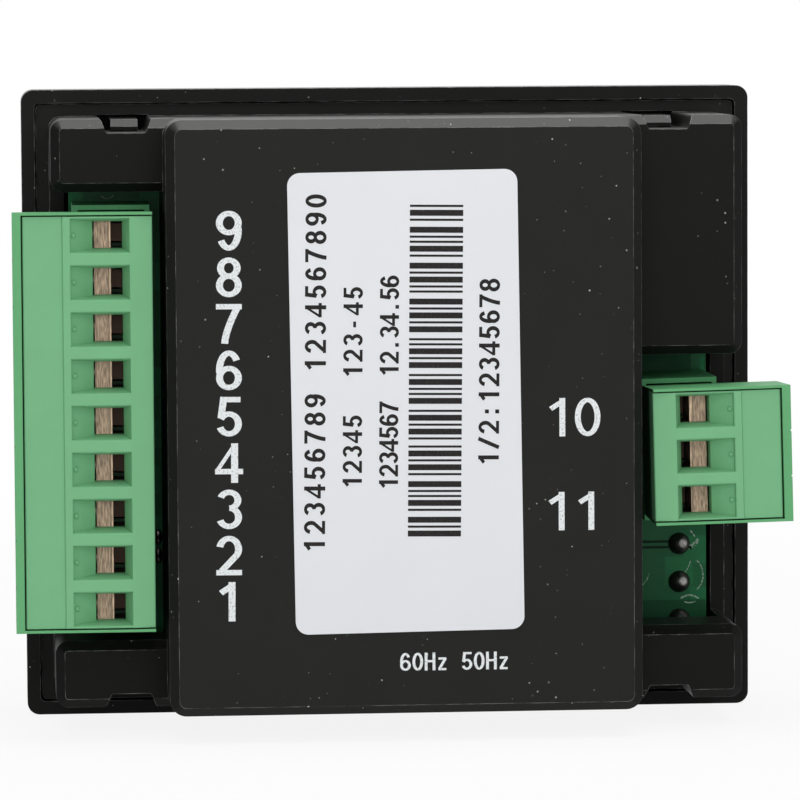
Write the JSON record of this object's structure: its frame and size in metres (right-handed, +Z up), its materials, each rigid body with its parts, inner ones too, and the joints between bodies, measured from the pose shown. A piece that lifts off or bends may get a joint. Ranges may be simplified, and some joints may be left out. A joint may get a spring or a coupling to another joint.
{
  "type": "genset controller",
  "caption": "Panel-mounted engine generator controller: shallow front bezel with selector knob and lamps, stepped rear case, and pluggable screw terminal blocks in its sides.",
  "frame": {"origin": "centre of the bezel's rear rim, in the plane that seats on the panel", "axes": "+Y out of the rear towards the wires, -Y out of the front, +Z up, +X to the right seen from the front"},
  "size_m": [0.0852, 0.0481, 0.071],
  "materials": {
    "bezel_plastic": "moulded, fine grain",
    "overlay_film": "printed polyester film, satin",
    "case_plastic": "moulded, fine spark grain",
    "label_film": "printed white polyester",
    "board_laminate": "green solder resist on glass epoxy",
    "plated_steel": "bright zinc plate",
    "header_plastic": "moulded green polyamide",
    "tinned_brass": "tin plate",
    "plug_plastic": "moulded green polyamide",
    "terminal_steel": "zinc plate, passivated",
    "switch_plastic": "moulded",
    "plated_brass": "nickel plate",
    "knob_plastic": "moulded, satin",
    "pointer_plastic": "white inlay",
    "holder_plastic": "moulded",
    "solder": "bright solder",
    "relay_plastic": "moulded",
    "chip_plastic": "moulded epoxy",
    "capacitor_sleeve": "shrunk sleeve",
    "varistor_epoxy": "dipped epoxy",
    "cage_brass": "nickelled brass",
    "lamp_red": "clear red epoxy",
    "lamp_amber": "clear amber epoxy",
    "lamp_green": "clear green epoxy",
    "resistor_lacquer": "lacquer"
  },
  "bodies": {
    "housing": {"front_bezel": "bezel_plastic", "fascia_overlay": "overlay_film", "rear_case": "case_plastic", "rating_label": "label_film", "main_board": "board_laminate", "board_screws": "plated_steel", "main_header": "header_plastic", "main_header_pins": "tinned_brass", "gen_header": "header_plastic", "gen_header_pins": "tinned_brass", "selector_switch": "switch_plastic", "switch_terminals": "tinned_brass", "selector_bush": "plated_brass", "selector_washer": "plated_steel", "selector_nut": "plated_brass", "lamp_holder": "holder_plastic", "solder_joints": "solder", "fuel_relay": "relay_plastic", "crank_relay": "relay_plastic", "processor": "chip_plastic", "supply_capacitor": "capacitor_sleeve", "voltage_regulator": "chip_plastic", "surge_varistor": "varistor_epoxy", "link_header": "chip_plastic", "link_cap": "relay_plastic", "lamp_1": "lamp_red", "lamp_2": "lamp_red", "lamp_3": "lamp_red", "lamp_4": "lamp_red", "lamp_5": "lamp_amber", "lamp_6": "lamp_green", "sense_resistor_1": "resistor_lacquer", "sense_resistor_2": "resistor_lacquer", "sense_resistor_3": "resistor_lacquer", "sense_resistor_4": "resistor_lacquer"},
    "main_plug": {"main_plug_body": "plug_plastic", "main_plug_cover": "plug_plastic", "main_plug_screws": "terminal_steel", "main_plug_contacts": "tinned_brass", "main_cage_1": "cage_brass", "main_cage_2": "cage_brass", "main_cage_3": "cage_brass", "main_cage_4": "cage_brass", "main_cage_5": "cage_brass", "main_cage_6": "cage_brass", "main_cage_7": "cage_brass", "main_cage_8": "cage_brass", "main_cage_9": "cage_brass"},
    "gen_plug": {"gen_plug_body": "plug_plastic", "gen_plug_cover": "plug_plastic", "gen_plug_screws": "terminal_steel", "gen_plug_contacts": "tinned_brass", "gen_cage_1": "cage_brass", "gen_cage_2": "cage_brass", "gen_cage_3": "cage_brass"},
    "knob": {"selector_knob": "knob_plastic", "knob_pointer": "pointer_plastic", "selector_shaft": "plated_brass"}
  },
  "joints": [
    {"name": "selector_turn", "type": "hinge", "parent": "housing", "child": "knob", "pos_m": [-0.024, -0.012, -0.021], "axis": [0, 1, 0], "range_deg": [0, 90]},
    {"name": "main_plug_pull", "type": "slide", "parent": "housing", "child": "main_plug", "axis": [0, 1, 0], "range_m": [0, 0.012]},
    {"name": "gen_plug_pull", "type": "slide", "parent": "housing", "child": "gen_plug", "axis": [0, 1, 0], "range_m": [0, 0.012]}
  ]
}
